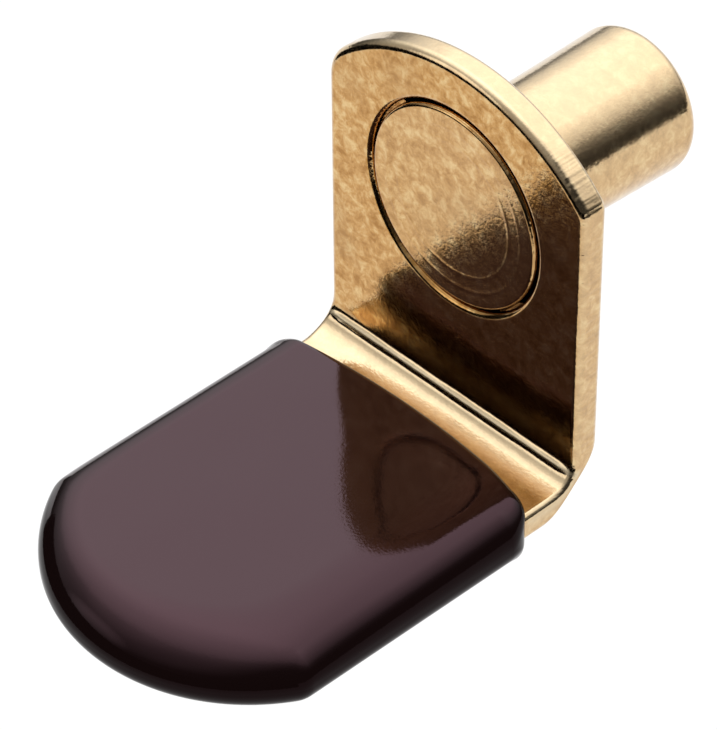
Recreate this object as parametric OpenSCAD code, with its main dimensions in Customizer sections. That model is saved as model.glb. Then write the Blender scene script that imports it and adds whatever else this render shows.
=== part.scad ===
// Shelf support pin: a folded sheet bracket, a headed pin pressed through its plate
// and a dipped vinyl sleeve on its tongue. All sizes are in millimetres.
// The origin is on the pin's axis at the plate's back face. +Y runs along the pin
// into the cabinet side, +Z is up and the tongue reaches out along -Y.

/* [Sheet] */
// Thickness of the sheet
sheet_t = 1.3; // [1:0.1:1.8]
// Width of the plate and of the tongue
sheet_w = 14.2; // [13:0.1:18]
// Size of the rounded arris along every edge of the sheet
edge_r = 0.3; // [0.15:0.05:0.4]
// Radius of the corners where an arched end meets the sides
corner_r = 1.6; // [1:0.1:2.4]

/* [Plate] */
// Height of the arch's top above the pin's axis
plate_rise = 6.8; // [6.2:0.1:9]
// Height of the arch between its corners and its top
plate_arch = 3.2; // [2.2:0.1:5]

/* [Tongue] */
// Drop from the pin's axis to the tongue's top face
tongue_drop = 10; // [9:0.1:14]
// Reach of the tongue in front of the plate
tongue_reach = 18.9; // [15:0.1:26]
// Length of the tongue's arch between its corners and its tip
tongue_arch = 4.2; // [2.2:0.1:5.5]

/* [Bend] */
// Radius inside the fold
bend_inner_r = 1.5; // [0.8:0.1:2.6]
// How much rounder the outside of the fold is than an even bend
bend_ease = 0.25; // [0.2:0.05:1.2]

/* [Pin] */
// Diameter of the shank
pin_d = 6.35; // [5:0.05:7.5]
// Length of the shank behind the plate
pin_len = 9.4; // [7:0.1:14]
// Rounding of the shank's free end
pin_end_r = 0.6; // [0.2:0.1:1]
// How much wider than the shank the shoulder pressed into the plate is, on the radius
shoulder_step = 0.25; // [0.1:0.05:0.4]
// Length of the cone from the shoulder down to the shank
lead_in = 0.25; // [0.1:0.05:0.4]
// How far that cone runs out behind the plate
lead_out = 0.15; // [0.05:0.05:0.3]
// Diameter of the flush head
head_d = 9.2; // [8.6:0.1:10.6]
// Thickness of the head
head_t = 0.7; // [0.5:0.05:0.85]
// Rounding of the head's rim, which leaves the groove round it
head_rim_r = 0.3; // [0.1:0.05:0.4]
// Depth of the shallow dish in the head's face
dish_depth = 0.08; // [0.02:0.02:0.2]
// Width of the flat ring between the dish and the rim
dish_margin = 0.7; // [0.4:0.1:1.5]

/* [Sleeve] */
// Wall of the dipped sleeve along the tongue's sides and round its tip
sleeve_t = 0.5; // [0.4:0.05:0.9]
// Coat on the tongue's top and underside, where the dip stays thicker
coat_t = 0.8; // [0.5:0.05:1.2]
// Rounding along the sleeve's long edges and its tip
sleeve_edge_r = 1.3; // [0.5:0.05:1.4]
// Bare strip of tongue between the fold and the sleeve
bare_strip = 0.7; // [0.1:0.1:3]
// Rounding of the sleeve's lip where it runs out on the metal
lip_r = 0.6; // [0.15:0.05:1]
// Rounding of the lip's two corners, seen from above
lip_corner_r = 1.2; // [0.8:0.1:2.5]

/* [Clearances] */
// Gap round the head in its seat and round the shoulder in its hole
seat_gap = 0.05; // [0.02:0.01:0.1]
// Break of the sharp edge at the mouth of the head's seat
mouth_break = 0.1; // [0.05:0.05:0.2]

/* [Hidden] */
$fn = 96;
brass_plate = "#cfa964";
brown_vinyl = "#2a1716";
// An arris or a corner is a little flatter than a true round, as tumbling leaves it
arris_flat = 1.2;
// Overshoot of a cut past the face that it opens, and of an arris cut past its corner
over = 1;
arris_over = 0.5;
half_w = sheet_w / 2;
front_y = -sheet_t;
seat_z = -tongue_drop;
bend_reach = bend_inner_r + bend_ease;
bend_outer_r = bend_reach + sheet_t;
pin_r = pin_d / 2;
shoulder_r = pin_r + shoulder_step;
head_r = head_d / 2;
dish_r = head_r - dish_margin;
sleeve_w = sheet_w + 2 * sleeve_t;
sleeve_h = sheet_t + 2 * coat_t;
sleeve_from = bend_reach + bare_strip;
sleeve_to = tongue_reach + sleeve_t;
// Radii of the two arched ends
plate_end_r = arch_r(half_w, plate_arch);
tongue_end_r = arch_r(half_w, tongue_arch);
// The wall that a rounding is cut from limits it, and at least this much of it stays square
square_left = 0.1;
sleeve_round = min(sleeve_edge_r, (sleeve_h - square_left) / 2);
lip_round = min(lip_r, coat_t - square_left);

// Radius of an arc that spans two half widths and stands up by rise
function arch_r(half, rise) = (half * half + rise * rise) / (2 * rise);

// What a rounded arris takes off a square corner at the origin of the third quadrant
module arris_cut(size) {
    arc = arris_flat * size;
    inset = (size + sqrt(2 * arc * arc - size * size)) / 2;
    difference() {
        translate([-size, -size]) square(size + arris_over);
        translate([-inset, -inset]) circle(r = arc);
    }
}

// Section across a sheet: w wide on X, from 0 to t on Y, all four arrises rounded
module slab_2d(w, t, edge) {
    difference() {
        translate([-w / 2, 0]) square([w, t]);
        for (side = [0, 1], face = [0, 1])
            mirror([side, 0])
                translate([w / 2, t * face])
                    mirror([0, 1 - face])
                        arris_cut(edge);
    }
}

// Section of a round rim: from the axis out to r on X, from 0 to t on Y
module rim_2d(r, t, edge) {
    difference() {
        square([r, t]);
        for (face = [0, 1])
            translate([r, t * face])
                mirror([0, 1 - face])
                    arris_cut(edge);
    }
}

// Section of the space outside a round rim: beyond r on X, past 0 and t on Y, and round the rim's arrises
module beyond_2d(r, t, edge) {
    translate([r, -over]) square([sheet_w, t + 2 * over]);
    for (face = [0, 1])
        translate([r, t * face])
            mirror([0, 1 - face]) arris_cut(edge);
}

// Flat strip along +Y with an arched end at tip, from 0 to t on Z, its arrises rounded.
// Each corner's round keeps the depth of one that touches the side and the arch, but is flatter.
module strip(w, t, from, tip, end_r, corner, edge) {
    hub = tip - end_r;
    peak = [w / 2, hub + sqrt(end_r * end_r - w * w / 4)];
    touching = [w / 2 - corner, hub + sqrt(pow(end_r - corner, 2) - pow(w / 2 - corner, 2))];
    depth = norm(peak - touching) - corner;
    flat_r = arris_flat * corner;
    centre = peak + (touching - peak) * (depth + flat_r) / (depth + corner);
    difference() {
        translate([0, tip + over, 0])
            rotate([90, 0, 0])
                linear_extrude(tip + over - from) slab_2d(w, t, edge);
        translate([0, hub, 0])
            rotate_extrude(angle = 180) beyond_2d(end_r, t, edge);
        for (side = [0, 1])
            mirror([side, 0, 0])
                translate([centre.x, centre.y, 0])
                    rotate_extrude(angle = atan2(centre.y - hub, centre.x))
                        beyond_2d(flat_r, t, edge);
    }
}

// Section of the open space in front of a face of the sheet: the face lies along Y at X = depth,
// and the space runs from 0 to there and round the face's two arrises
module gap_2d(depth) {
    translate([0, -half_w - over]) square([depth, sheet_w + 2 * over]);
    for (side = [0, 1])
        mirror([0, side])
            translate([depth, half_w])
                mirror([1, 0]) arris_cut(edge_r);
}

// Fold between the tongue and the plate, drawn about the axis of its outer round
module fold() {
    difference() {
        rotate([0, 90, 0])
            rotate_extrude(angle = 90)
                translate([0, -half_w]) rim_2d(bend_outer_r, sheet_w, edge_r);
        // in front of the plate
        translate([0, 0, -bend_ease])
            rotate(90)
                linear_extrude(bend_ease + over) gap_2d(bend_reach);
        // above the tongue
        translate([0, bend_ease, 0])
            rotate([90, 90, 0])
                linear_extrude(bend_ease + over) gap_2d(bend_reach);
        // the inner round
        translate([0, bend_ease, -bend_ease])
            rotate([0, 90, 0])
                rotate_extrude(angle = 90) gap_2d(bend_inner_r);
    }
}

// Tongue of the bracket, which also shapes the pocket in the sleeve
module tongue(from) {
    translate([0, front_y, seat_z])
        rotate([180, 0, 0])
            strip(sheet_w, sheet_t, from, tongue_reach, tongue_end_r, corner_r, edge_r);
}

// Seat for the head and hole for the shoulder, from the plate's front face to its back
module pin_seat() {
    rotate([-90, 0, 0]) {
        translate([0, 0, front_y - over])
            cylinder(r = shoulder_r + seat_gap, h = sheet_t + 2 * over);
        translate([0, 0, front_y - over])
            cylinder(r = head_r + seat_gap, h = head_t + over);
        translate([0, 0, front_y - over])
            cylinder(r1 = head_r + seat_gap + mouth_break + over, r2 = head_r + seat_gap, h = mouth_break + over);
    }
}

// Folded sheet: arched plate, fold and arched tongue in one piece
module bracket() {
    color(brass_plate)
        difference() {
            union() {
                translate([0, 0, seat_z])
                    rotate([90, 0, 0])
                        strip(sheet_w, sheet_t, bend_reach, tongue_drop + plate_rise, plate_end_r, corner_r, edge_r);
                translate([0, front_y - bend_reach, seat_z + bend_reach]) fold();
                tongue(bend_reach);
            }
            pin_seat();
        }
}

// Headed pin: flush dished head, shoulder in the plate, and a plain shank with a rounded end
module pin() {
    dish_sphere_r = arch_r(dish_r, dish_depth);
    color(brass_plate)
        rotate([-90, 0, 0])
            rotate_extrude()
                difference() {
                    union() {
                        translate([0, front_y]) square([head_r, head_t]);
                        translate([0, front_y]) square([shoulder_r, sheet_t + lead_out - lead_in]);
                        polygon([[0, lead_out - lead_in], [shoulder_r, lead_out - lead_in],
                                 [pin_r, lead_out], [0, lead_out]]);
                        translate([0, front_y]) square([pin_r, sheet_t + pin_len]);
                    }
                    translate([head_r, front_y]) mirror([0, 1]) arris_cut(head_rim_r);
                    translate([pin_r, pin_len]) arris_cut(pin_end_r);
                    translate([0, front_y + dish_depth - dish_sphere_r]) circle(r = dish_sphere_r);
                }
}

// Long rectangle from X = 0 along +X, from 0 to h on Y, the corners of its near end rounded
module lip_2d(h, round) {
    difference() {
        square([sleeve_to + over, h]);
        for (face = [0, 1])
            translate([0, h * face])
                mirror([1, 0]) mirror([0, 1 - face]) arris_cut(round);
    }
}

// Dipped sleeve: the tongue's shape grown by its wall, with the tongue's pocket taken out
module sleeve() {
    color(brown_vinyl)
        difference() {
            translate([0, front_y, seat_z + coat_t])
                rotate([180, 0, 0])
                    intersection() {
                        strip(sleeve_w, sleeve_h, sleeve_from, sleeve_to, tongue_end_r + sleeve_t,
                              corner_r + sleeve_t, sleeve_round);
                        // the lip in side view
                        translate([-sleeve_w / 2 - over, sleeve_from, 0])
                            rotate([90, 0, 90])
                                linear_extrude(sleeve_w + 2 * over) lip_2d(sleeve_h, lip_round);
                        // the lip from above
                        translate([sleeve_w / 2, sleeve_from, -over])
                            linear_extrude(sleeve_h + 2 * over)
                                rotate(90) lip_2d(sleeve_w, lip_corner_r);
                    }
            tongue(0);
        }
}

bracket();
pin();
sleeve();
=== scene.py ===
"""Shelf support pin: the looks of a folded brass-plated bracket, its headed pin and its dipped sleeve."""

import math

import bpy
import numpy as np
from mathutils import Matrix, Vector
from mathutils.geometry import delaunay_2d_cdt


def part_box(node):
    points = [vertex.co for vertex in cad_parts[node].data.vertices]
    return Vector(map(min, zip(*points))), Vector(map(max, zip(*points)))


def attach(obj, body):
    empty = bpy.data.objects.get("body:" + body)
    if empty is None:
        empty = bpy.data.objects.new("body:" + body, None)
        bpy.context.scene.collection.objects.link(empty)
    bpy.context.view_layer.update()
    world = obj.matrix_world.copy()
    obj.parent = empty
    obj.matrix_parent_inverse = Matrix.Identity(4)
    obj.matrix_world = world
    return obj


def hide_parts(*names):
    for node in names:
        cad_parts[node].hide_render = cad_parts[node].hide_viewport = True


bl_info = {
    "name": "Shelf Support Pin",
    "version": (1, 0, 0),
    "blender": (4, 5, 0),
    "location": "3D View > Sidebar > Shelf Pin",
    "description": "Builds a plated shelf support with a dipped sleeve around its solid model",
    "category": "Add Mesh",
}

MM = 0.001
QUARTER = math.pi / 2
FULL = 2 * math.pi

# steps round the pin and its seat
TURNS = 144
# spacing of the points on the sheet, and through its fold
SPACING = 0.3 * MM
FOLD_SPACING = 0.06 * MM
# least distance of a face's inner points from its border
BORDER_GAP = 0.12 * MM
# place of the ridge in the crease, as a share of the crease's length
RIDGE_PLACE = 0.58
# radii of the two rings in the head
RING_RADII = (3.1 * MM, 3.75 * MM)
# shares of the pale mark: cut edges and the shank worn pale, a painted highlight where they face up,
# the arris worn more, and the head worn a little
EDGE_WEAR = 0.35
UPPER_PAINTED_HIGHLIGHT = 0.4
ARRIS_WEAR = 0.2
HEAD_WEAR = 0.1
# distance of the floor below the sleeve
FLOOR_GAP = 30 * MM
# the tent's lights, high behind, high at the front left and low there: the azimuth and elevation of each,
# and its levels at cosines of the angle from there
BACK_LIGHT = [(0.24, 0.05), (0.365, 0.12), (0.49, 0.32), (0.6, 0.85)]
BACK_LIGHT += [(0.65, 1.0), (0.71, 1.2), (0.77, 1.35), (0.88, 1.8)]
LEFT_LIGHT = [(0.45, 0.0), (0.61, 0.2), (0.78, 0.42), (0.883, 0.45), (0.944, 0.5), (0.985, 0.66)]
LOW_LIGHT = [(0.94, 0.0), (0.985, 1.0)]
TENT_LIGHT = (((200, 55), BACK_LIGHT), ((-45, 50), LEFT_LIGHT), ((-36, 17), LOW_LIGHT))

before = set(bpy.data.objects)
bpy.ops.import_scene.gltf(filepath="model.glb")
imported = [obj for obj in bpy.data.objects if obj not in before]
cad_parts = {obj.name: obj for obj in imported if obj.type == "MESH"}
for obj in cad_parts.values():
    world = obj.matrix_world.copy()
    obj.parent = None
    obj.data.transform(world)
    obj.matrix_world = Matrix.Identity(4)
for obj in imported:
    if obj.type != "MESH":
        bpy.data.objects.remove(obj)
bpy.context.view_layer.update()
BRACKET_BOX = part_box("bracket")
PIN_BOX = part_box("pin")
SLEEVE_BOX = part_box("sleeve")


def linear(hex_colour):
    """The linear colour that a shader takes, from an sRGB hex value."""
    shares = [int(hex_colour[i : i + 2], 16) / 255 for i in (1, 3, 5)]
    return tuple(v / 12.92 if v <= 0.04045 else ((v + 0.055) / 1.055) ** 2.4 for v in shares)


def length(name, description, default):
    """A size that a user may change, in metres."""
    return bpy.props.FloatProperty(
        name=name, description=description, default=default, unit="LENGTH", precision=5
    )


def colour(name, description, hex_colour):
    """A colour that a user may change."""
    return bpy.props.FloatVectorProperty(
        name=name, description=description, default=linear(hex_colour), subtype="COLOR", min=0, max=1
    )


class ShelfPinSizes(bpy.types.PropertyGroup):
    """Sizes of the three pieces."""

    sheet_thickness: length("Sheet thickness", "Thickness of the folded sheet", 1.3 * MM)
    sheet_width: length("Sheet width", "Width of plate and tongue", BRACKET_BOX[1].x - BRACKET_BOX[0].x)
    arris: length("Arris", "Rounding along the sheet's edges", 0.36 * MM)
    corner: length("Corner", "Rounding of the corners of both arched ends", 2.0 * MM)
    tight_corner: length("Tight corner", "Rounding of the plate's right corner", 0.9 * MM)
    plate_rise: length("Plate rise", "Height of the plate above the pin's axis", BRACKET_BOX[1].z)
    plate_arch: length("Plate arch", "Height of the plate's arch", 3.2 * MM)
    tongue_drop: length("Tongue drop", "Drop from the pin's axis to the tongue's top", 10 * MM)
    tongue_reach: length("Tongue reach", "Reach of the tongue in front of the plate", 18.9 * MM)
    tongue_arch: length("Tongue arch", "Length of the tongue's arch", 4.2 * MM)
    bend_reach: length("Bend reach", "How far in front of the plate the fold starts", 1.75 * MM)
    bend_inner: length("Inner bend", "Radius of the crease inside the fold", 1.1 * MM)
    bend_slope: bpy.props.FloatProperty(
        name="Bend slope",
        description="How steep the tongue rises before the crease",
        default=math.radians(18),
        subtype="ANGLE",
    )
    ridge_rise: length("Ridge rise", "Height of the ridge that folding leaves in the crease", 0.1 * MM)
    ridge_width: length("Ridge width", "Half width of that ridge", 0.15 * MM)
    bend_bulge: length("Bend bulge", "How far the fold swells sideways on its inside", 0.12 * MM)
    bend_draw: length("Bend draw", "How far the fold draws in sideways on its outside", 0.3 * MM)
    seat_radius: length("Seat radius", "Radius of the seat for the pin's head", 4.64 * MM)
    seat_lip: length("Seat lip", "Rounding at the mouth of that seat", 0.3 * MM)
    head_radius: length("Head radius", "Radius of the pin's head", PIN_BOX[1].x - 0.08 * MM)
    head_thickness: length("Head thickness", "Thickness of the pin's head", 0.7 * MM)
    head_round: length("Head round", "How far the rounding of the head's rim reaches in", 0.18 * MM)
    head_drop: length("Head drop", "Depth of that rounding", 0.2 * MM)
    ring_rise: length("Ring rise", "Height of the two rings that the heading tool leaves", 0.008 * MM)
    dish_depth: length("Dish depth", "Depth of the dish in the head", 0.08 * MM)
    dish_margin: length("Dish margin", "Flat ring between the dish and the rim", 0.3 * MM)
    shoulder_radius: length("Shoulder radius", "Radius of the shoulder in the plate", 3.425 * MM)
    shank_root: length("Shank root", "Radius of the shank at the plate", 3.1 * MM)
    shank_end: length("Shank end", "Radius of the shank at its free end", 3.27 * MM)
    shank_length: length("Shank length", "Length of the shank behind the plate", PIN_BOX[1].y)
    shank_round: length("Shank round", "Rounding of the shank's free end", 0.65 * MM)
    sleeve_wall: length("Sleeve wall", "Wall of the sleeve at the tongue's sides and tip", 0.4 * MM)
    sleeve_coat: length("Sleeve coat", "Coat on the tongue's top and underside", 0.8 * MM)
    sleeve_start: length("Sleeve start", "Distance of the sleeve's lip from the plate", 2.3 * MM)
    sleeve_round: length("Sleeve round", "How far the rounding reaches in on the sleeve's right", 3.4 * MM)
    left_round: length("Left round", "How far the rounding reaches in on the sleeve's left", 1.6 * MM)
    sleeve_girth: length("Sleeve girth", "How far below its top the sleeve is widest", 1.65 * MM)
    sleeve_rise: length("Sleeve rise", "How far the sleeve's top rises from its tip to its lip", 0.3 * MM)
    sleeve_tip: length("Sleeve tip", "Rounding of the corners at the sleeve's tip", 1.3 * MM)
    sleeve_edge: length("Sleeve edge", "How far the lower edge's rounding reaches in", 1.25 * MM)
    sleeve_bow: length("Sleeve bow", "How far the middle of the lip bows to the plate", 0.45 * MM)
    sleeve_lip: length("Sleeve lip", "How far the lip's rounding reaches in", 0.55 * MM)
    sleeve_corner: length("Sleeve corner", "Rounding of the lip's corners from above", 1.5 * MM)


class ShelfPinColours(bpy.types.PropertyGroup):
    """Colours of the finishes and of the stage."""

    brass: colour("Brass", "Body colour of the brass plate", "#c79757")
    brass_deep: colour("Deep brass", "Where the plate is thick and warm", "#a87633")
    brass_pale: colour("Pale brass", "Where the plate is thin and pale", "#dfbc82")
    brass_grey: colour("Grey brass", "Where the lacquer dulls the plate", "#b08c5c")
    # pale brass where tools have worn the plate thin, and for the painted highlight where edges and the
    # shank face up
    brass_rubbed_and_highlight: colour("Rubbed brass", "Where tools have rubbed the plate thin", "#dac8a6")
    vinyl: colour("Vinyl", "Body colour of the dipped vinyl", "#120909")
    vinyl_dust: colour("Dust", "Specks of dust on the vinyl", "#4a3a38")
    floor: colour("Floor", "The pale floor", "#f2f2f2")


class Skin:
    """Points and faces of a piece while it is put together, with a true normal at each face corner."""

    def __init__(self):
        self.points = []
        self.normals = []
        self.wear_and_highlight = []
        self.faces = []
        self.corners = []

    def add(self, point, normal, wear_and_highlight=0.0):
        """Adds a point with its normal and its share of the pale mark, from edges worn pale and painted
        highlight, and gives its number.
        """
        self.points.append(tuple(point))
        self.normals.append(Vector(normal).normalized())
        self.wear_and_highlight.append(wear_and_highlight)
        return len(self.points) - 1

    def face(self, numbers, normals=None):
        """Adds a face. Its corners take the points' own normals unless others are given."""
        self.faces.append(tuple(numbers))
        self.corners.extend(normals or [self.normals[n] for n in numbers])

    def loft(self, first, second):
        """Joins two closed rows of points by four-sided faces."""
        for i in range(len(first)):
            j = (i + 1) % len(first)
            self.face((first[i], first[j], second[j], second[i]))

    def fill(self, border_rings, inner, place, keep, flip=False):
        """Fills the flat region inside the first ring with triangles. A ring is a list of (number, u, v).

        inner holds more (u, v) points, place turns one of them into a point's number,
        and keep says which triangles stay, by the middle of each."""
        flat = []
        numbers = []
        edges = []
        for ring in border_rings:
            start = len(flat)
            for number, u, v in ring:
                flat.append(Vector((u, v)))
                numbers.append(number)
            count = len(ring)
            edges.extend((start + i, start + (i + 1) % count) for i in range(count))
        for u, v in inner:
            flat.append(Vector((u, v)))
            numbers.append(place(u, v))
        # the flat region is worked on in millimetres, far from the limit of precision
        flat = [p / MM for p in flat]
        corners, _, triangles, origins, _, _ = delaunay_2d_cdt(flat, edges, [], 1, 1e-6)
        for triangle in triangles:
            middle = sum((corners[i] for i in triangle), Vector((0, 0))) / 3 * MM
            if not keep(middle.x, middle.y):
                continue
            a, b, c = [numbers[origins[i][0]] for i in triangle]
            self.face((a, c, b) if flip else (a, b, c))

    def piece(self, name, node, material):
        """Makes the Blender object, which stands for a node of the frame and rides on it."""
        mesh = bpy.data.meshes.new(name)
        mesh.from_pydata(self.points, [], self.faces)
        mesh.polygons.foreach_set("use_smooth", [True] * len(mesh.polygons))
        wear_and_highlight = mesh.attributes.new("wear_and_highlight", "FLOAT", "POINT")
        wear_and_highlight.data.foreach_set("value", self.wear_and_highlight)
        mesh.normals_split_custom_set(self.corners)
        mesh.materials.append(material)
        made = bpy.data.objects.new(name, mesh)
        bpy.context.scene.collection.objects.link(made)
        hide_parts(node)
        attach(made, "root")


def arch_radius(half, rise):
    """Radius of an arc that spans two half widths and stands up by rise."""
    return (half * half + rise * rise) / (2 * rise)


def clamp(value):
    """The value, kept between 0 and 1."""
    return min(max(value, 0.0), 1.0)


def ease(share):
    """A share from 0 to 1 that starts and stops softly."""
    return share * share * (3 - 2 * share)


def quarter_turns(count):
    """Even angles through a quarter turn, with both its ends."""
    return [i / count * QUARTER for i in range(count + 1)]


def steps(start, end, spacing):
    """Even values from start to end, about spacing apart, without the last."""
    count = max(1, round(abs(end - start) / spacing))
    return [start + (end - start) * i / count for i in range(count)]


def arc(centre, radius, start, end, spacing):
    """Points of an arc with their outward normals, without the last, as (u, v, normal u, normal v)."""
    made = []
    for angle in steps(start, end, spacing / radius):
        u = math.cos(angle)
        v = math.sin(angle)
        made.append((centre[0] + radius * u, centre[1] + radius * v, u, v))
    return made


def arched_end(half, tip, end_r, right, left, spacing):
    """One arched end of a strip along +v, from its right corner to its left, with outward normals."""
    hub = tip - end_r
    high = [hub + math.sqrt((end_r - corner) ** 2 - (half - corner) ** 2) for corner in (right, left)]
    start = math.atan2(high[0] - hub, half - right)
    end = math.pi - math.atan2(high[1] - hub, half - left)
    made = arc((half - right, high[0]), right, 0, start, spacing / 2)
    made += arc((0, hub), end_r, start, end, spacing)
    made += arc((left - half, high[1]), left, end, math.pi, spacing / 2)
    made.append((-half, high[1], -1.0, 0.0))
    return made


def inside(points, outline, margin):
    """Which of the points lie inside a closed outline, at least margin away from it."""
    points = np.asarray(points)
    a = np.asarray(outline)
    b = np.roll(a, -1, axis=0)
    d = b - a
    px = points[:, None, 0]
    py = points[:, None, 1]
    crosses = (a[None, :, 1] > py) != (b[None, :, 1] > py)
    height = np.where(d[:, 1] == 0, 1e-12, d[:, 1])
    where = a[None, :, 0] + (py - a[None, :, 1]) / height[None] * d[None, :, 0]
    within = (crosses & (px < where)).sum(1) % 2 == 1
    along = ((points[:, None] - a[None]) * d[None]).sum(2) / (d * d).sum(1)[None]
    gap = points[:, None] - (a[None] + np.clip(along, 0, 1)[:, :, None] * d[None])
    far = np.sqrt((gap * gap).sum(2)).min(1)
    return within & (far > margin)


def fold_shape(size):
    """Radius of the rise before the crease, and lengths of rise, crease and the plate's foot above it."""
    slope = size.bend_slope
    inner = size.bend_inner
    rise = (size.bend_reach - inner * (1 - math.sin(slope))) / math.sin(slope)
    height = rise * (1 - math.cos(slope)) + inner * math.cos(slope)
    return rise, rise * slope, inner * (QUARTER - slope), size.bend_reach - height


def fold_length(size):
    """Length of the front face that the fold takes up."""
    return sum(fold_shape(size)[1:])


def fold_frame(size, run):
    """Front and back points of the sheet as (y, z), their turns from the tongue, and the fold's share.

    run is 0 where the tongue meets the fold, and grows towards the plate."""
    thick = size.sheet_thickness
    seat = -size.tongue_drop
    reach = size.bend_reach
    inner = size.bend_inner
    near = -thick - reach
    total = fold_length(size)
    if run <= 0:
        return (near + run, seat), (near + run, seat - thick), 0.0, 0.0, 0.0
    if run >= total:
        z = seat + reach + run - total
        return (-thick, z), (0, z), QUARTER, QUARTER, 1.0
    rise, first, second, _ = fold_shape(size)
    if run < first:
        turn = run / rise
        front = (near + rise * math.sin(turn), seat + rise * (1 - math.cos(turn)))
    else:
        turn = min(size.bend_slope + (run - first) / inner, QUARTER)
        foot = max(run - first - second, 0)
        low = rise * (1 - math.cos(size.bend_slope)) + inner * math.cos(size.bend_slope)
        front = (-thick - inner * (1 - math.sin(turn)), seat + low - inner * math.cos(turn) + foot)
    share = run / total
    back_turn = share * QUARTER
    outer = thick + reach
    back = (outer * (math.sin(back_turn) - 1), seat + reach - outer * math.cos(back_turn))
    return front, back, turn, back_turn, share


def sheet_point(size, x, run, depth, side, tilt):
    """Point and normal of the folded sheet. depth is 0 on the front and 1 on the back.

    side is the outline's normal in the blank, and tilt turns the normal from the face to that side."""
    front, back, front_turn, back_turn, share = fold_frame(size, run)
    half = size.sheet_width / 2
    _, first, second, _ = fold_shape(size)
    # the ridge in the crease, uneven along its length, which fades out before the sheet's edges
    offset = (run - first - RIDGE_PLACE * second) / size.ridge_width
    ridge_stop = 0.21 * MM
    ridge_fade = 0.7 * MM
    fade = clamp((half - abs(x) - ridge_stop) / ridge_fade)
    slow = 0.15 * math.sin(x / (1.1 * MM))
    quick = 0.1 * math.sin(x / (0.4 * MM))
    ridge = size.ridge_rise * (0.85 + slow + quick) * fade * math.exp(-offset * offset) * (1 - depth)
    lean = 2 * offset * ridge / size.ridge_width
    turn = front_turn if depth < 0.5 else back_turn
    normal = (-math.sin(turn), math.cos(turn))
    along = (normal[1], -normal[0])
    y = front[0] + (back[0] - front[0]) * depth + normal[0] * ridge
    z = front[1] + (back[1] - front[1]) * depth + normal[1] * ridge
    swell = math.sin(share * math.pi) ** 2
    x *= 1 + swell * (size.bend_bulge * (1 - depth) - size.bend_draw * depth) / half
    flat = math.cos(tilt) * (1 if depth < 0.5 else -1)
    edge = math.sin(tilt)
    turned = (
        edge * side[0],
        flat * (normal[0] + lean * along[0]) + edge * side[1] * along[0],
        flat * (normal[1] + lean * along[1]) + edge * side[1] * along[1],
    )
    return (x, y, z), turned


def rubbed(size, run):
    """Share of the plating that the folding tool has rubbed off the front of the fold."""
    _, first, second, _ = fold_shape(size)
    rub_start = -1.2 * MM
    rub_end = first + 0.6 * second
    fade_in = 0.4 * MM
    fade_out = 0.3 * MM
    rise_wear = 0.75 * clamp((run - rub_start) / fade_in) * clamp((rub_end - run) / fade_out)
    scuff_width = 0.3 * MM
    offset = (run - first - RIDGE_PLACE * second) / scuff_width
    crease_wear = 0.95 * math.exp(-offset * offset)
    return max(rise_wear, crease_wear)


def add(tree, kind, sockets=None, stops=(), **settings):
    """Adds a node with its settings and colour stops, and gives each named socket a value or a link."""
    node = tree.nodes.new(kind)
    for name, value in settings.items():
        setattr(node, name, value)
    for name, value in (sockets or {}).items():
        if isinstance(value, bpy.types.NodeSocket):
            tree.links.new(value, node.inputs[name])
        else:
            node.inputs[name].default_value = value
    if stops:
        elements = node.color_ramp.elements
        while len(elements) < len(stops):
            elements.new(0.5)
        for element, (place, shade) in zip(elements, stops):
            element.position = place
            element.color = (*shade, 1.0)
    return node


def new_material(name):
    """An empty node material and its tree."""
    material = bpy.data.materials.new(name)
    material.use_nodes = True
    material.node_tree.nodes.clear()
    return material, material.node_tree


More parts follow.
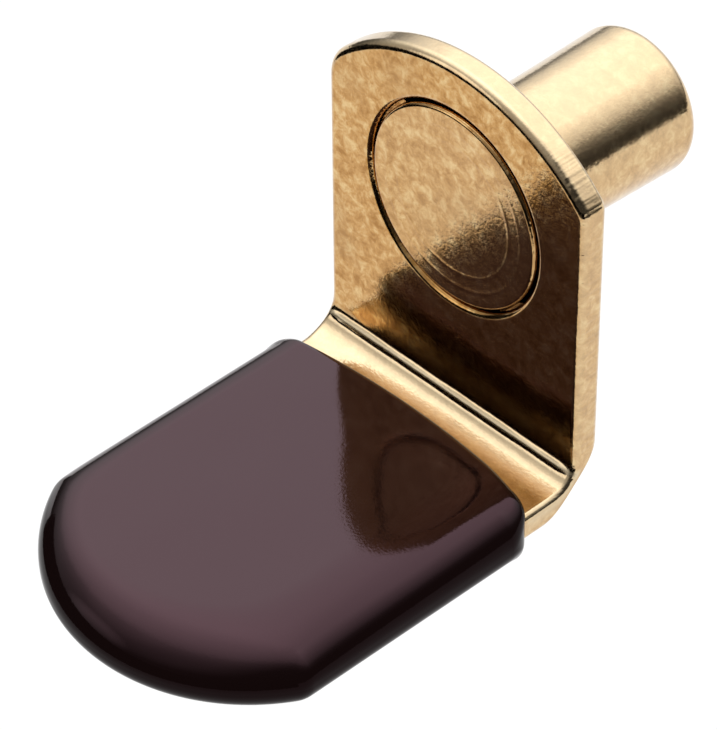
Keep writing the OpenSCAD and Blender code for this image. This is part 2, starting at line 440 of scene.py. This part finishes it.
def brass_plated_steel(colours):
    """Bright brass electroplate on barrel-polished steel, under a thin clear lacquer.

    It mirrors its surroundings, with a clear gloss of the lacquer on top. The plate has clouds of deeper
    and paler colour and a fine grain, it is rubbed pale on its edges and in the fold, and a painted
    highlight makes it paler still where an edge or the shank faces up."""
    material, tree = new_material("lacquered_brass_plated_steel")
    where = add(tree, "ShaderNodeTexCoord").outputs["Object"]
    normal = add(tree, "ShaderNodeNewGeometry").outputs["Normal"]
    place = add(tree, "ShaderNodeSeparateXYZ", {"Vector": where}).outputs
    toward = add(tree, "ShaderNodeSeparateXYZ", {"Vector": normal}).outputs
    wear_and_highlight = add(tree, "ShaderNodeAttribute", attribute_name="wear_and_highlight").outputs["Fac"]
    shear_width = 0.22 * MM
    shear_length = 4 * MM
    stretched = add(
        tree, "ShaderNodeMapping", {"Vector": where, "Scale": (1, shear_width / shear_length, 1)}
    ).outputs["Vector"]
    patterns = {}
    for name, vector, across, detail, rough, distortion in (
        # clouds of the deposit, with finer flecks in them
        ("cloud", where, 0.5 * MM, 3.0, 0.7, 0.4),
        # patches where the lacquer looks greyer
        ("patch", where, 3.5 * MM, 2.0, 0.5, 0.0),
        # grain of the tumbled steel
        ("grain", where, 0.17 * MM, 2.0, 0.6, 0.0),
        # slow waves that bend the lines of the reflections
        ("wave", where, 2.6 * MM, 1.0, 0.5, 0.0),
        # marks of the shears across the cut edge
        ("shear", stretched, shear_width, 1.0, 0.5, 0.0),
    ):
        sockets = {"Vector": vector, "Scale": 1 / across, "Detail": detail, "Roughness": rough}
        sockets["Distortion"] = distortion
        patterns[name] = add(tree, "ShaderNodeTexNoise", sockets).outputs["Fac"]
    shares = {}
    for name, value, start, stop, least, most in (
        ("veil", patterns["patch"], 0.5, 0.75, 0.0, 0.4),
        # the cut edge on the strip's right side, without the shank behind the plate
        ("cut", toward["X"], 0.35, 0.6, 0.0, 1.0),
        ("front", place["Y"], 0.0, 0.2 * MM, 1.0, 0.0),
        ("gloss", patterns["grain"], 0.3, 0.7, 0.1, 0.18),
        # the crease, which the folding tool has scuffed
        ("scuff", wear_and_highlight, 0.8, 0.95, 0.0, 0.28),
    ):
        sockets = {"Value": value, "From Min": start, "From Max": stop, "To Min": least, "To Max": most}
        shares[name] = add(tree, "ShaderNodeMapRange", sockets).outputs["Result"]
    stops = [(0.32, colours.brass_deep), (0.5, colours.brass), (0.68, colours.brass_pale)]
    tone = add(tree, "ShaderNodeValToRGB", {"Fac": patterns["cloud"]}, stops).outputs["Color"]
    # the pale brass goes where edges are worn and where a painted highlight lies on what faces up
    for share, over in ((shares["veil"], colours.brass_grey), (wear_and_highlight, colours.brass_rubbed_and_highlight)):
        sockets = {"Fac": share, "Color1": tone, "Color2": (*over, 1.0)}
        tone = add(tree, "ShaderNodeMixRGB", sockets).outputs["Color"]
    marks = patterns["shear"]
    for mask in (shares["cut"], shares["front"]):
        marks = add(tree, "ShaderNodeMath", {0: marks, 1: mask}, operation="MULTIPLY").outputs[0]
    bumps = []
    for height, deep in (
        (patterns["wave"], 0.03 * MM),
        (marks, 0.03 * MM),
        (patterns["grain"], 0.006 * MM),
    ):
        sockets = {"Height": height, "Distance": deep, "Strength": 1.0}
        if bumps:
            sockets["Normal"] = bumps[-1]
        bumps.append(add(tree, "ShaderNodeBump", sockets).outputs["Normal"])
    _, coat_normal, plate_normal = bumps
    dull = add(tree, "ShaderNodeMath", {0: shares["gloss"], 1: shares["scuff"]}, operation="ADD")
    shader = add(
        tree,
        "ShaderNodeBsdfPrincipled",
        {
            "Base Color": tone,
            "Metallic": 1.0,
            "Roughness": dull.outputs[0],
            "Normal": plate_normal,
            "Coat Weight": 0.3,
            "Coat IOR": 1.5,
            "Coat Roughness": 0.06,
            "Coat Normal": coat_normal,
        },
    )
    add(tree, "ShaderNodeOutputMaterial", {"Surface": shader.outputs["BSDF"]})
    return material


def dipped_vinyl(colours):
    """Plasticised vinyl, dipped hot and hung to drip, which leaves a glossy skin with slow waves.

    It is almost black brown, with a soft sheen of what is above it and a few specks of dust."""
    material, tree = new_material("dipped_plasticised_vinyl")
    where = add(tree, "ShaderNodeTexCoord").outputs["Object"]
    normal = add(tree, "ShaderNodeNewGeometry").outputs["Normal"]
    toward = add(tree, "ShaderNodeSeparateXYZ", {"Vector": normal}).outputs
    # slow waves of the cooled skin, and its grain, as coarse as it needs to be to show
    patterns = []
    for across, detail, rough in ((5 * MM, 1.0, 0.4), (0.12 * MM, 2.0, 0.6)):
        sockets = {"Vector": where, "Scale": 1 / across, "Detail": detail, "Roughness": rough}
        patterns.append(add(tree, "ShaderNodeTexNoise", sockets).outputs["Fac"])
    wave, grain = patterns
    # specks of dust, one in some 3 mm
    dust = add(tree, "ShaderNodeTexVoronoi", {"Vector": where, "Scale": 1 / (3 * MM), "Randomness": 1.0})
    stops = [(0.012, colours.vinyl_dust), (0.03, colours.vinyl)]
    tone = add(tree, "ShaderNodeValToRGB", {"Fac": dust.outputs["Distance"]}, stops)
    # the grain's roughness, and the reflection's strength, which is turned down on the sides as painted
    # shade
    shares = []
    for value, start, stop, least, most in (
        (grain, 0.3, 0.7, 0.045, 0.09),
        (toward["Z"], 0.6, 0.97, 0.05, 0.6),
    ):
        sockets = {"Value": value, "From Min": start, "From Max": stop, "To Min": least, "To Max": most}
        shares.append(add(tree, "ShaderNodeMapRange", sockets).outputs["Result"])
    gloss, sheen = shares
    waved = add(tree, "ShaderNodeBump", {"Height": wave, "Distance": 0.05 * MM, "Strength": 1.0})
    sockets = {"Height": grain, "Distance": 0.0016 * MM, "Strength": 1.0, "Normal": waved.outputs["Normal"]}
    grained = add(tree, "ShaderNodeBump", sockets)
    shader = add(
        tree,
        "ShaderNodeBsdfPrincipled",
        {
            "Base Color": tone.outputs["Color"],
            "Roughness": gloss,
            "IOR": 1.5,
            # the reflection is weaker the less the skin faces up: painted shade on the sides
            "Specular IOR Level": sheen,
            "Specular Tint": (1.0, 0.56, 0.67, 1.0),
            "Normal": grained.outputs["Normal"],
        },
    )
    add(tree, "ShaderNodeOutputMaterial", {"Surface": shader.outputs["BSDF"]})
    return material


def metal():
    """The lacquered brass plate, made once for both metal pieces."""
    found = bpy.data.materials.get("lacquered_brass_plated_steel")
    return found or brass_plated_steel(bpy.context.scene.shelf_pin_colours)


class SHELFPIN_OT_bracket(bpy.types.Operator):
    """Build the folded bracket with its arched plate and tongue"""

    bl_idname = "shelfpin.bracket"
    bl_label = "Bracket"

    def execute(self, context):
        size = context.scene.shelf_pin_sizes
        half = size.sheet_width / 2
        fold = fold_length(size)
        reach = size.bend_reach
        thick = size.sheet_thickness
        top = fold + size.tongue_drop + size.plate_rise - reach
        tip = size.tongue_reach - reach
        plate_r = arch_radius(half, size.plate_arch)
        tongue_r = arch_radius(half, size.tongue_arch)
        upper = arched_end(half, top, plate_r, size.tight_corner, size.corner, SPACING)
        lower = arched_end(half, tip, tongue_r, size.corner, size.corner, SPACING)
        lower = [(-u, -v, -nu, -nv) for u, v, nu, nv in lower]
        # the two straight sides, with short steps through the fold
        runs = steps(lower[-1][1], 0, SPACING) + steps(0, fold, FOLD_SPACING)
        right = [(half, v, 1.0, 0.0) for v in runs[1:] + steps(fold, upper[0][1], SPACING)]
        left = [(-half, v, -1.0, 0.0) for v in runs[1:] + steps(fold, upper[-1][1], SPACING)][::-1]
        outline = upper + left + lower + right
        skin = Skin()
        rows = []
        arris_steps = 5
        for turn in quarter_turns(arris_steps):
            rows.append((size.arris * (1 - math.sin(turn)), size.arris * (1 - math.cos(turn)), turn))
        rows += [(inset, thick - deep, turn) for inset, deep, turn in reversed(rows)]
        rings = []
        for inset, deep, turn in rows:
            ring = []
            for u, v, nu, nv in outline:
                place = (u - nu * inset, v - nv * inset)
                point, normal = sheet_point(size, *place, deep / thick, (nu, nv), turn)
                # the cut edge is worn pale, and a painted highlight makes it paler still where it faces up
                wear_and_highlight = (EDGE_WEAR + UPPER_PAINTED_HIGHLIGHT * max(nv, 0.0)) * math.sin(turn)
                wear_and_highlight += ARRIS_WEAR * math.sin(2 * turn)
                if deep < thick / 2:
                    wear_and_highlight = max(wear_and_highlight, rubbed(size, place[1]))
                ring.append((skin.add(point, normal, wear_and_highlight), *place))
            rings.append(ring)
        for first, second in zip(rings, rings[1:]):
            skin.loft([n for n, _, _ in second], [n for n, _, _ in first])
        # the seat of the pin's head, row by row from the front face to the back one
        middle = fold + size.tongue_drop - reach
        angles = [FULL * i / TURNS for i in range(TURNS)]
        lip_steps = 4
        hole_gap = 0.05 * MM
        seat_rows = []
        for turn in quarter_turns(lip_steps):
            radius = size.seat_radius + size.seat_lip * (1 - math.sin(turn))
            seat_rows.append((radius, size.seat_lip * (1 - math.cos(turn)), turn))
        seat_rows.append((size.seat_radius, size.head_thickness, QUARTER))
        seat_rows.append((size.shoulder_radius + hole_gap, size.head_thickness, QUARTER))
        seat_rows.append((size.shoulder_radius + hole_gap, thick, QUARTER))
        holes = []
        for radius, deep, turn in seat_rows:
            ring = []
            for angle in angles:
                side = (-math.cos(angle), -math.sin(angle))
                place = (-side[0] * radius, middle - side[1] * radius)
                point, normal = sheet_point(size, *place, deep / thick, side, turn)
                ring.append((skin.add(point, normal), *place))
            holes.append(ring)
        for first, second in zip(holes, holes[1:]):
            skin.loft([n for n, _, _ in first], [n for n, _, _ in second])
        # the front and back faces
        grid = []
        for v in steps(-tip, 0, SPACING) + steps(0, fold, FOLD_SPACING) + steps(fold, top, SPACING):
            grid += [(u, v) for u in steps(-half, half, SPACING)]
        for ring, hole, depth in ((rings[0], holes[0], 0.0), (rings[-1], holes[-1], 1.0)):
            border = [(u, v) for _, u, v in ring]
            hole_radius = math.hypot(hole[0][1], hole[0][2] - middle)
            stay = inside(grid, border, BORDER_GAP)
            far = np.hypot([u for u, _ in grid], [v - middle for _, v in grid])
            stay &= far > hole_radius + BORDER_GAP
            inner = [place for place, good in zip(grid, stay) if good]
            skin.fill(
                [ring, hole],
                inner,
                lambda u, v: skin.add(
                    *sheet_point(size, u, v, depth, (0, 0), 0), rubbed(size, v) * (1 - depth)
                ),
                lambda u, v: math.hypot(u, v - middle) > hole_radius * math.cos(math.pi / TURNS) ** 2,
                flip=depth > 0.5,
            )
        skin.piece("folded_bracket", "bracket", metal())
        return {"FINISHED"}


class SHELFPIN_OT_pin(bpy.types.Operator):
    """Build the headed pin with its dished head and slightly swelling shank"""

    bl_idname = "shelfpin.pin"
    bl_label = "Pin"

    def execute(self, context):
        size = context.scene.shelf_pin_sizes
        face = -size.sheet_thickness
        flat_end = size.head_radius - size.head_round
        dish = flat_end - size.dish_margin
        # profile from the head's middle to the shank's: radius, y, and the normal as (out, along)
        profile = []
        dish_rows = 96
        ring_width = 0.09 * MM
        for i in range(1, dish_rows + 1):
            r = dish * i / dish_rows
            y = face + size.dish_depth * (1 - (r / dish) ** 2)
            slope = 2 * size.dish_depth * r / dish**2
            for ring_radius in RING_RADII:
                offset = (r - ring_radius) / ring_width
                ring = size.ring_rise * math.exp(-offset * offset)
                y -= ring
                slope -= 2 * offset * ring / ring_width
            profile.append((r, y, -slope, -1.0))
        rim_steps = 7
        for turn in quarter_turns(rim_steps):
            c = math.cos(turn)
            s = math.sin(turn)
            r = flat_end + size.head_round * s
            profile.append((r, face + size.head_drop * (1 - c), s * size.head_drop, -c * size.head_round))
        under = face + size.head_thickness
        profile.append((size.head_radius, under, 1.0, 0.0))
        profile.append((size.shoulder_radius, under, 1.0, 0.0))
        # the shoulder ends in a short cone, and the shank swells from there to its free end
        shoulder_end = -0.1 * MM
        shank_start = 0.15 * MM
        shank_steps = 32
        swell_power = 1.5
        swell_lean = -0.02
        profile.append((size.shoulder_radius, shoulder_end, 1.0, 0.0))
        profile.append((size.shank_root, shank_start, 1.0, 0.0))
        straight = size.shank_length - size.shank_round
        for i in range(1, shank_steps + 1):
            y = shank_start + (straight - shank_start) * i / shank_steps
            share = y / straight
            r = size.shank_root + (size.shank_end - size.shank_root) * share**swell_power
            profile.append((r, y, 1.0, swell_lean))
        end_r = profile[-1][0]
        round_steps = 10
        for turn in quarter_turns(round_steps)[1:]:
            c = math.cos(turn)
            s = math.sin(turn)
            profile.append((end_r - size.shank_round * (1 - c), straight + size.shank_round * s, c, s))
        for share in (0.75, 0.5, 0.25):
            profile.append(((end_r - size.shank_round) * share, size.shank_length, 0.0, 1.0))
        skin = Skin()
        rings = []
        for r, y, out, along in profile:
            ring = []
            for i in range(TURNS):
                c = math.cos(FULL * i / TURNS)
                s = math.sin(FULL * i / TURNS)
                # the shank is worn pale, with a painted highlight on its upper side, and the head is worn a
                # little
                wear_and_highlight = EDGE_WEAR + UPPER_PAINTED_HIGHLIGHT * max(s, 0.0) if y > 0 else HEAD_WEAR
                ring.append(skin.add((r * c, y, r * s), (out * c, along, out * s), wear_and_highlight))
            rings.append(ring)
        for first, second in zip(rings, rings[1:]):
            skin.loft(second, first)
        hub = skin.add((0, face + size.dish_depth, 0), (0, -1, 0))
        end = skin.add((0, size.shank_length, 0), (0, 1, 0), EDGE_WEAR)
        for i in range(TURNS):
            j = (i + 1) % TURNS
            skin.face((hub, rings[0][i], rings[0][j]))
            skin.face((end, rings[-1][j], rings[-1][i]))
        skin.piece("headed_pin", "pin", metal())
        return {"FINISHED"}


class SHELFPIN_OT_sleeve(bpy.types.Operator):
    """Build the dipped sleeve with its pocket for the tongue"""

    bl_idname = "shelfpin.sleeve"
    bl_label = "Sleeve"

    def execute(self, context):
        size = context.scene.shelf_pin_sizes
        thick = size.sheet_thickness
        wall = size.sleeve_wall
        high = thick / 2 + size.sleeve_coat
        half = size.sheet_width / 2 + wall
        middle_z = -size.tongue_drop - thick / 2
        start = size.sleeve_start
        tip = size.tongue_reach + wall
        spacing = 0.28 * MM
        end_r = arch_radius(size.sheet_width / 2, size.tongue_arch)
        front = arched_end(half, tip, end_r + wall, size.sleeve_tip, size.sleeve_tip, spacing)
        # the lip's two corners, each split where the side of the tongue passes
        round_r = size.sleeve_corner
        split = math.asin((round_r - wall) / round_r)
        corner_step = 0.09
        side_turns = steps(QUARTER, split, corner_step)
        shared = len(side_turns)
        left_corner = []
        for turn in side_turns + steps(split, 0, corner_step):
            u = -math.sin(turn)
            v = -math.cos(turn)
            # 0 at the sleeve's side, 1 at its lip
            rear = ease(min(1.0, (QUARTER - turn) / (QUARTER - split)))
            left_corner.append((-half + round_r + round_r * u, start + round_r + round_r * v, u, v, rear))
        right_corner = [(-u, v, -nu, nv, rear) for u, v, nu, nv, rear in reversed(left_corner)]
        inner_half = half - round_r
        rear_edge = []
        for u in steps(-inner_half, inner_half, spacing) + [inner_half]:
            v = start - size.sleeve_bow * (1 - (u / inner_half) ** 2)
            rear_edge.append((u, v, 0.0, -1.0, 1.0))
        shoulder = front[0][1]
        left = [(-half, v, -1.0, 0.0, 0.0) for v in steps(shoulder, start + round_r, spacing)[1:]]
        right = [(half, v, 1.0, 0.0, 0.0) for v in steps(start + round_r, shoulder, spacing)[1:]]
        outline = [(*p, 0.0) for p in front] + left + left_corner + rear_edge + right_corner + right
        first_open = len(front) + len(left) + shared
        last_open = first_open + (len(left_corner) - shared) * 2 + len(rear_edge) - 1
        girth = high - size.sleeve_girth
        hub = tip - end_r - wall
        skin = Skin()

        def place(u, v, z):
            """A point from its place in plan and its height above the middle of the tongue."""
            return (u, -thick - v, middle_z + z)

        def lift(v):
            """How far the top lies above its height at the tip."""
            return size.sleeve_rise * clamp((tip - v) / (tip - start))

        def rounding(u):
            """How far the rounding reaches in on the top, which drained more to the right."""
            share = ease(clamp((u + half) / (2 * half)))
            return size.left_round + (size.sleeve_round - size.left_round) * share

        def dome(u, v):
            """Height of the sleeve's top without that lift: it rounds off towards its sides and its tip."""
            side = half - abs(u)
            end = end_r + wall - math.hypot(u, max(v - hub, 0.0))
            # how softly the roundings of side and tip run into each other, more so further in
            soft = 0.12 * MM + 0.1 * max(min(side, end), 0.0)
            away = min(side, end) - soft * math.log1p(math.exp(-abs(side - end) / soft))
            share = clamp(1 - away / rounding(u))
            return girth + size.sleeve_girth * math.sqrt(1 - share * share)

        def top(u, v):
            """Height of the sleeve's top."""
            return dome(u, v) + lift(v)

        def slope(u, v):
            """Slope of that top along u and along v."""
            d = 0.01 * MM
            return (top(u + d, v) - top(u - d, v)) / (2 * d), (top(u, v + d) - top(u, v - d)) / (2 * d)

        # where the top face gives way to the rows of the rounded edge
        edge_in = 0.9 * MM

        def upper_edge(share, rear, peak, where):
            """Inset and height along the rounded upper edge, from the top face down to the widest place."""
            reach = rounding(where[0])
            first_turn = math.asin(1 - edge_in / reach)
            turn = first_turn + (QUARTER - first_turn) * share
            side_in = reach * (1 - math.sin(turn))
            side_z = girth + (peak - girth) * math.cos(turn) / math.cos(first_turn)
            lip_in = size.sleeve_lip * (1 - math.sin(QUARTER * share))
            lip_z = thick / 2 + (peak - thick / 2) * math.cos(QUARTER * share)
            inset = side_in + (lip_in - side_in) * rear
            higher = lift(where[1] - where[2] * inset) * (1 - share * share)
            return inset, side_z + (lip_z - side_z) * rear + higher

        # rows of the rounded edge from the top face down to the bottom one
        edge_steps = 16
        wall_steps = 4
        wall_flat = 0.1 * MM
        nudge = 0.01
        rows = [("upper", i / edge_steps) for i in range(edge_steps + 1)]
        rows += [("wall", i / wall_steps) for i in range(1, wall_steps)]
        rows += [("lower", 1 - i / edge_steps) for i in range(edge_steps + 1)]
        rings = []
        for part, share in rows:
            ring = []
            for u, v, nu, nv, rear in outline:
                first_in = edge_in + (size.sleeve_lip - edge_in) * rear
                inner = (u - nu * first_in, v - nv * first_in)
                peak = dome(*inner)
                where = (u, v, nv)
                wall_top = girth + (thick / 2 - girth) * rear
                wall_base = girth - wall_flat
                wall_base += (-thick / 2 - wall_base) * rear
                lean = (0.0, 0.0)
                if part == "upper":
                    before = upper_edge(max(share - nudge, 0.0), rear, peak, where)
                    after = upper_edge(min(share + nudge, 1.0), rear, peak, where)
                    inset, z = upper_edge(share, rear, peak, where)
                    out = before[1] - after[1]
                    up = before[0] - after[0]
                    lean = slope(*inner)
                elif part == "wall":
                    inset = 0.0
                    z = wall_top + (wall_base - wall_top) * share
                    out = 1.0
                    up = 0.0
                else:
                    reach = size.sleeve_edge + (size.sleeve_lip - size.sleeve_edge) * rear
                    drop = high + wall_base
                    turn = QUARTER * share
                    inset = reach * (1 - math.sin(turn))
                    z = wall_base - drop * math.cos(turn)
                    out = math.sin(turn) * drop
                    up = -math.cos(turn) * reach
                spot = (u - nu * inset, v - nv * inset)
                normal = (nu * out - lean[0] * up * rear, -nv * out + lean[1] * up * rear, up)
                ring.append((skin.add(place(*spot, z), normal), *spot))
            rings.append(ring)
        upper = edge_steps
        lower = edge_steps + wall_steps
        count = len(outline)
        for row in range(len(rings) - 1):
            for i in range(count):
                if upper <= row < lower and first_open <= i < last_open:
                    continue
                j = (i + 1) % count
                a = rings[row]
                b = rings[row + 1]
                skin.face((a[i][0], a[j][0], b[j][0], b[i][0]))
        # the top face, rounded, and the flat bottom one
        grid = []
        for v in steps(start - size.sleeve_bow, tip, spacing):
            grid += [(u, v) for u in steps(-half, half, spacing)]

        def on_top(u, v):
            """Adds a point of the top face."""
            along_u, along_v = slope(u, v)
            return skin.add(place(u, v, top(u, v)), (-along_u, along_v, 1.0))

        border = [(u, v) for _, u, v in rings[0]]
        inner = [p for p, good in zip(grid, inside(grid, border, BORDER_GAP)) if good]
        skin.fill([rings[0]], inner, on_top, lambda u, v: True, flip=True)
        skin.fill([rings[-1]], [], None, lambda u, v: True)
        # the pocket that the tongue fills
        tongue = arched_end(half - wall, size.tongue_reach, end_r, size.corner, size.corner, spacing * 2)
        columns = [[rings[row][last_open][0] for row in range(upper, lower + 1)]]
        for u, v, nu, nv in tongue:
            column = []
            for i in range(wall_steps + 1):
                z = thick / 2 * (1 - 2 * i / wall_steps)
                # the pocket follows the tongue's rounded arris
                past = max(abs(z) - thick / 2 + size.arris, 0.0)
                inset = size.arris - math.sqrt(size.arris**2 - past**2)
                column.append(skin.add(place(u - nu * inset, v - nv * inset, z), (-nu, nv, 0)))
            columns.append(column)
        columns.append([rings[row][first_open][0] for row in range(upper, lower + 1)])
        inward = [Vector((-1, 0, 0))] + [skin.normals[c[0]] for c in columns[1:-1]] + [Vector((1, 0, 0))]
        for k in range(len(columns) - 1):
            for i in range(wall_steps):
                numbers = (columns[k][i], columns[k][i + 1], columns[k + 1][i + 1], columns[k + 1][i])
                skin.face(numbers, [inward[k], inward[k], inward[k + 1], inward[k + 1]])
        for level, row, sign in ((0, upper, -1.0), (wall_steps, lower, 1.0)):
            corners = [(c[level], skin.points[c[level]]) for c in columns]
            border = [(number, point[0], -thick - point[1]) for number, point in corners]
            border += [rings[row][i] for i in range(first_open + 1, last_open)]
            before = len(skin.faces)
            skin.fill([border], [], None, lambda u, v: True, flip=sign > 0)
            fresh = 3 * (len(skin.faces) - before)
            skin.corners[-fresh:] = [Vector((0, 0, sign))] * fresh
        material = dipped_vinyl(context.scene.shelf_pin_colours)
        skin.piece("dipped_sleeve", "sleeve", material)
        return {"FINISHED"}


def staged(name, points, faces, material, mirrored_only=False):
    """Makes a mesh of the stage, no part of the object. If mirrored_only, only reflections see it."""
    mesh = bpy.data.meshes.new(name)
    mesh.from_pydata(points, [], faces)
    mesh.materials.append(material)
    made = bpy.data.objects.new(name, mesh)
    bpy.context.scene.collection.objects.link(made)
    made.visible_camera = not mirrored_only
    made.visible_diffuse = not mirrored_only
    made.visible_shadow = not mirrored_only


def facing(direction):
    """Unit vector from an azimuth about Z, 0 along -Y and 90 along +X, and an elevation, in degrees."""
    azimuth = math.radians(direction[0])
    elevation = math.radians(direction[1])
    flat = math.cos(elevation)
    return Vector((math.sin(azimuth) * flat, -math.cos(azimuth) * flat, math.sin(elevation)))


def lay_floor(colours):
    """Lays a matt white card, which shows white behind the object and keeps its shadow."""
    material, tree = new_material("matt_white_card")
    matt = add(tree, "ShaderNodeBsdfDiffuse", {"Color": (*colours.floor, 1.0)})
    path = add(tree, "ShaderNodeLightPath")
    seen = path.outputs["Is Camera Ray"]
    for ray in ("Is Glossy Ray", "Is Transmission Ray"):
        seen = add(tree, "ShaderNodeMath", {0: seen, 1: path.outputs[ray]}, operation="MAXIMUM").outputs[0]
    # the little that the card lacks to show as white
    lift = add(tree, "ShaderNodeMath", {0: seen, 1: 0.18}, operation="MULTIPLY")
    glow = add(tree, "ShaderNodeEmission", {"Strength": lift.outputs[0]})
    both = add(tree, "ShaderNodeAddShader", {0: matt.outputs[0], 1: glow.outputs[0]})
    add(tree, "ShaderNodeOutputMaterial", {"Surface": both.outputs[0]})
    wide = 3.0
    z = SLEEVE_BOX[0].z - FLOOR_GAP
    corners = [(-wide, -wide, z), (wide, -wide, z), (wide, wide, z), (-wide, wide, z)]
    staged("floor", corners, [(0, 1, 2, 3)], material)


def hang_tent():
    """Hangs a wide tent that only reflections see.

    It is bright overhead and dark low down at the front and the right, but for a low glow in front."""
    material, tree = new_material("lit_tent_cloth")
    where = add(tree, "ShaderNodeTexCoord").outputs["Object"]
    place = add(tree, "ShaderNodeVectorMath", {0: where}, operation="NORMALIZE").outputs["Vector"]
    total = 0.0
    for toward, stops in TENT_LIGHT:
        near = add(tree, "ShaderNodeVectorMath", {0: place, 1: facing(toward)}, operation="DOT_PRODUCT")
        levels = [(at, (level,) * 3) for at, level in stops]
        fade = add(tree, "ShaderNodeValToRGB", {"Fac": near.outputs["Value"]}, levels).outputs["Color"]
        total = add(tree, "ShaderNodeMath", {0: total, 1: fade}, operation="ADD").outputs[0]
    cloth = add(tree, "ShaderNodeEmission", {"Strength": total})
    add(tree, "ShaderNodeOutputMaterial", {"Surface": cloth.outputs[0]})
    material.cycles.emission_sampling = "NONE"
    radius = 0.45
    lowest = -8
    around = 96
    rows = 32
    points = []
    faces = []
    for row in range(rows + 1):
        elevation = lowest + (90 - lowest) * row / rows
        points += [facing((360 * i / around, elevation)) * radius for i in range(around)]
    for row in range(rows):
        for i in range(around):
            j = (i + 1) % around
            low = row * around
            high = low + around
            faces.append((low + i, high + i, high + j, low + j))
    staged("tent", points, faces, material, mirrored_only=True)


def stand_front_card():
    """Stands a low black card in front, whose reflection is the dark line on the plate's upper edge."""
    material, tree = new_material("black_card")
    matt = add(tree, "ShaderNodeBsdfDiffuse", {"Color": (0.005, 0.005, 0.005, 1.0)})
    add(tree, "ShaderNodeOutputMaterial", {"Surface": matt.outputs[0]})
    radius = 0.09
    left = -80
    right = 60
    bottom = -24
    top = 5
    parts = 28
    points = []
    for i in range(parts + 1):
        azimuth = left + (right - left) * i / parts
        points += [facing((azimuth, bottom)) * radius, facing((azimuth, top)) * radius]
    faces = [(2 * i, 2 * i + 2, 2 * i + 3, 2 * i + 1) for i in range(parts)]
    staged("front_card", points, faces, material, mirrored_only=True)


def light_room(scene):
    """Lights all else evenly, from a white room."""
    world = bpy.data.worlds.new("studio")
    scene.world = world
    world.use_nodes = True
    world.cycles.sampling_method = "NONE"
    tree = world.node_tree
    tree.nodes.clear()
    white = add(tree, "ShaderNodeBackground", {"Color": (1, 1, 1, 1), "Strength": 1.0})
    add(tree, "ShaderNodeOutputWorld", {"Surface": white.outputs[0]})


def set_camera(scene):
    """Sets the camera where the photograph was taken from, by a point and its place in the picture."""
    back = facing((46.956, 40.752))
    roll = math.radians(-0.433)
    # in pixels: the focal length, the picture's middle and height, and the place of the point
    focus = 4087.7
    middle = (358.5, 365)
    picture_height = 730
    spot = (449.738, 400.482)
    target = Vector((0, -1.3 * MM, -10 * MM))
    depth = 166.335 * MM
    right = (-back).cross(Vector((0, 0, 1))).normalized()
    up = right.cross(-back)
    across = math.cos(roll) * right + math.sin(roll) * up
    upward = math.cos(roll) * up - math.sin(roll) * right
    aside = (spot[0] - middle[0]) / focus * depth
    below = (spot[1] - middle[1]) / focus * depth
    place = target - across * aside + upward * below + back * depth
    camera = bpy.data.cameras.new("camera")
    camera.sensor_width = 36
    camera.lens = focus * camera.sensor_width / picture_height
    camera.clip_start = 5 * MM
    camera.clip_end = 20
    made = bpy.data.objects.new("camera", camera)
    turn = Matrix((across, upward, back)).transposed().to_4x4()
    made.matrix_world = Matrix.Translation(place) @ turn
    scene.collection.objects.link(made)
    scene.camera = made


class SHELFPIN_OT_stage(bpy.types.Operator):
    """Set the floor, the tent, the light and the camera"""

    bl_idname = "shelfpin.stage"
    bl_label = "Stage"

    def execute(self, context):
        scene = context.scene
        lay_floor(scene.shelf_pin_colours)
        hang_tent()
        stand_front_card()
        light_room(scene)
        set_camera(scene)
        scene.view_settings.view_transform = "Standard"
        return {"FINISHED"}


class SHELFPIN_PT_panel(bpy.types.Panel):
    """Lists the pieces of the shelf pin and their sizes"""

    bl_idname = "SHELFPIN_PT_panel"
    bl_label = "Shelf Pin"
    bl_space_type = "VIEW_3D"
    bl_region_type = "UI"
    bl_category = "Shelf Pin"

    def draw(self, context):
        for operator in OPERATORS:
            self.layout.operator(operator.bl_idname)
        for group in (context.scene.shelf_pin_sizes, context.scene.shelf_pin_colours):
            for name in group.__annotations__:
                self.layout.prop(group, name)


OPERATORS = (SHELFPIN_OT_bracket, SHELFPIN_OT_pin, SHELFPIN_OT_sleeve, SHELFPIN_OT_stage)
CLASSES = (ShelfPinSizes, ShelfPinColours, *OPERATORS, SHELFPIN_PT_panel)


def register():
    """Registers the classes and puts the settings on the scene."""
    for each in CLASSES:
        bpy.utils.register_class(each)
    bpy.types.Scene.shelf_pin_sizes = bpy.props.PointerProperty(type=ShelfPinSizes)
    bpy.types.Scene.shelf_pin_colours = bpy.props.PointerProperty(type=ShelfPinColours)


def unregister():
    """Takes the settings and the classes away again."""
    del bpy.types.Scene.shelf_pin_colours
    del bpy.types.Scene.shelf_pin_sizes
    for each in reversed(CLASSES):
        bpy.utils.unregister_class(each)


def main():
    """Builds the pieces and the stage."""
    register()
    bpy.ops.shelfpin.bracket()
    bpy.ops.shelfpin.pin()
    bpy.ops.shelfpin.sleeve()
    bpy.ops.shelfpin.stage()


if __name__ == "__main__":
    main()
